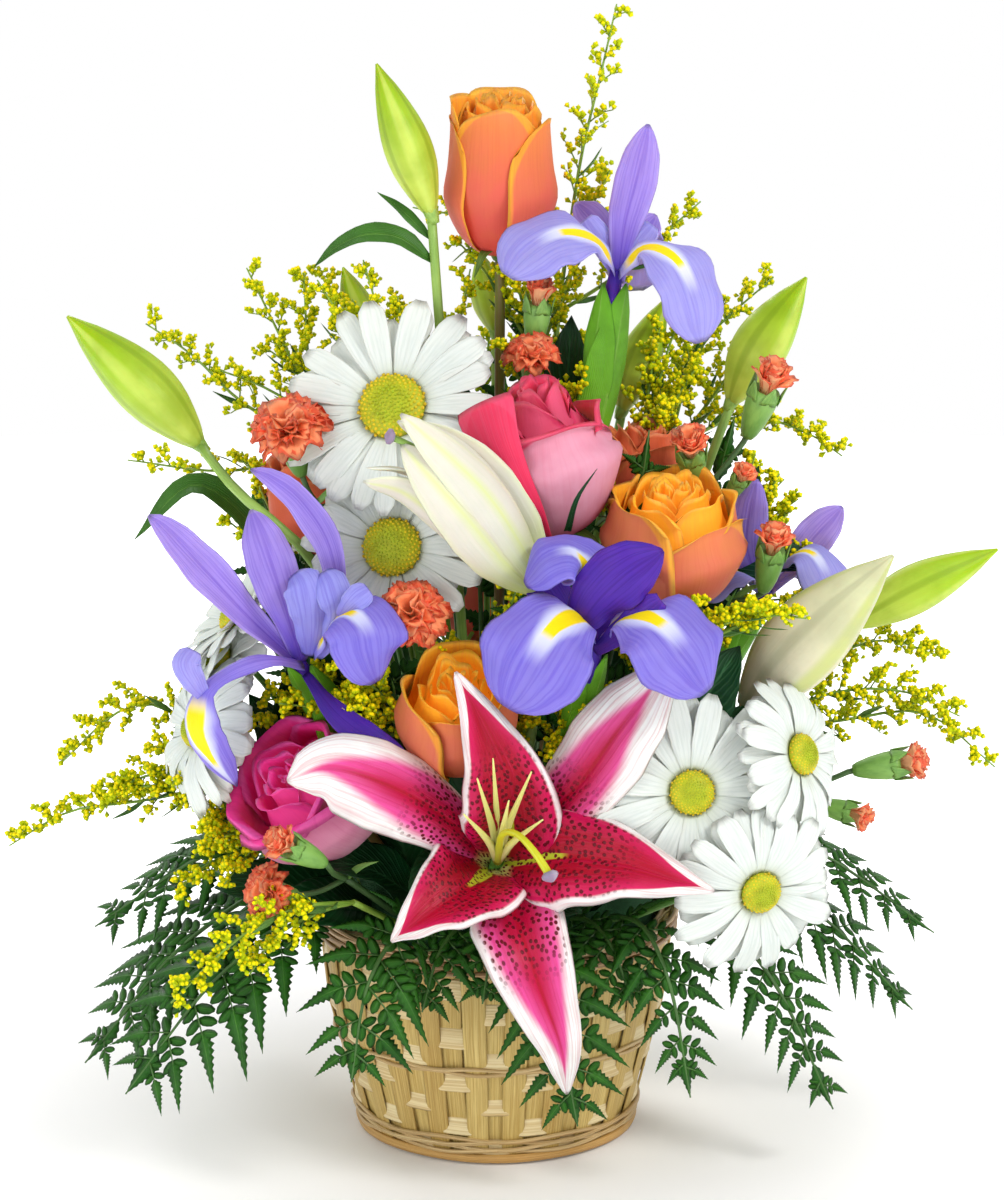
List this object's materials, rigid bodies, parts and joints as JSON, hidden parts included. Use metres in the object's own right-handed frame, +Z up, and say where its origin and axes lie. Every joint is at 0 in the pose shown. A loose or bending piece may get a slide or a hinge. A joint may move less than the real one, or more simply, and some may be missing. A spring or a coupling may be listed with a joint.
{
  "type": "flower basket arrangement",
  "caption": "Mixed cut-flower arrangement of lilies, roses, irises, daisies, carnations, goldenrod and fern in a round woven basket, standing in wet foam in a plastic liner.",
  "frame": {"origin": "centre of the underside of the basket", "axes": "+Z up, -Y towards the front of the arrangement, +X to the right when seen from the front"},
  "size_m": [0.476, 0.3293, 0.545],
  "materials": {
    "basket_splint": "satin",
    "basket_cane": "satin",
    "liner": "matte",
    "foam": "matte",
    "lily_pink": "satin",
    "lily_white": "satin",
    "lily_bud": "satin",
    "rose_coral": "matte",
    "rose_orange": "matte",
    "rose_pink": "matte",
    "rose_magenta": "matte",
    "iris_violet": "matte",
    "daisy_white": "matte",
    "carnation_coral": "matte",
    "goldenrod": "matte",
    "fern_green": "satin",
    "leaf_green": "satin"
  },
  "bodies": {
    "root": {"basket_base": "basket_splint", "basket_wall": "basket_splint", "rim_outer_hoop": "basket_cane", "rim_inner_hoop": "basket_cane", "mid_band": "basket_cane", "foot_band": "basket_cane", "liner": "liner", "foam_block": "foam", "lily_open": "lily_pink", "lily_white": "lily_white", "lily_bud_top_left": "lily_bud", "lily_bud_left": "lily_bud", "lily_bud_upper_right": "lily_bud", "lily_bud_far_right": "lily_bud", "lily_bud_right": "lily_white", "lily_bud_back_right": "lily_bud", "lily_bud_back_left": "lily_bud", "lily_bud_back_centre": "lily_bud", "rose_top": "rose_coral", "rose_pink": "rose_pink", "rose_right": "rose_orange", "rose_front": "rose_orange", "rose_magenta": "rose_magenta", "rose_left": "rose_coral", "rose_back_right": "rose_coral", "rose_rear": "rose_coral", "iris_top": "iris_violet", "iris_front": "iris_violet", "iris_left": "iris_violet", "iris_right": "iris_violet", "daisy_upper": "daisy_white", "daisy_middle": "daisy_white", "daisy_right": "daisy_white", "daisy_right_edge": "daisy_white", "daisy_lower_right": "daisy_white", "daisy_left": "daisy_white", "daisy_lower_left": "daisy_white", "daisy_rear_left": "daisy_white", "daisy_rear_right": "daisy_white", "carnations_top": "carnation_coral", "carnations_left": "carnation_coral", "carnations_centre": "carnation_coral", "carnations_upper_right": "carnation_coral", "carnations_right": "carnation_coral", "carnations_lower_left": "carnation_coral", "carnations_far_right": "carnation_coral", "goldenrod_top": "goldenrod", "goldenrod_upper_right": "goldenrod", "goldenrod_right": "goldenrod", "goldenrod_upper_left": "goldenrod", "goldenrod_left": "goldenrod", "goldenrod_front_left": "goldenrod", "goldenrod_rear": "goldenrod", "salal_leaf": "leaf_green", "fern_left": "fern_green", "fern_front_left": "fern_green", "fern_front": "fern_green", "fern_right": "fern_green", "fern_far_right": "fern_green", "fern_rear": "fern_green"}
  },
  "joints": []
}
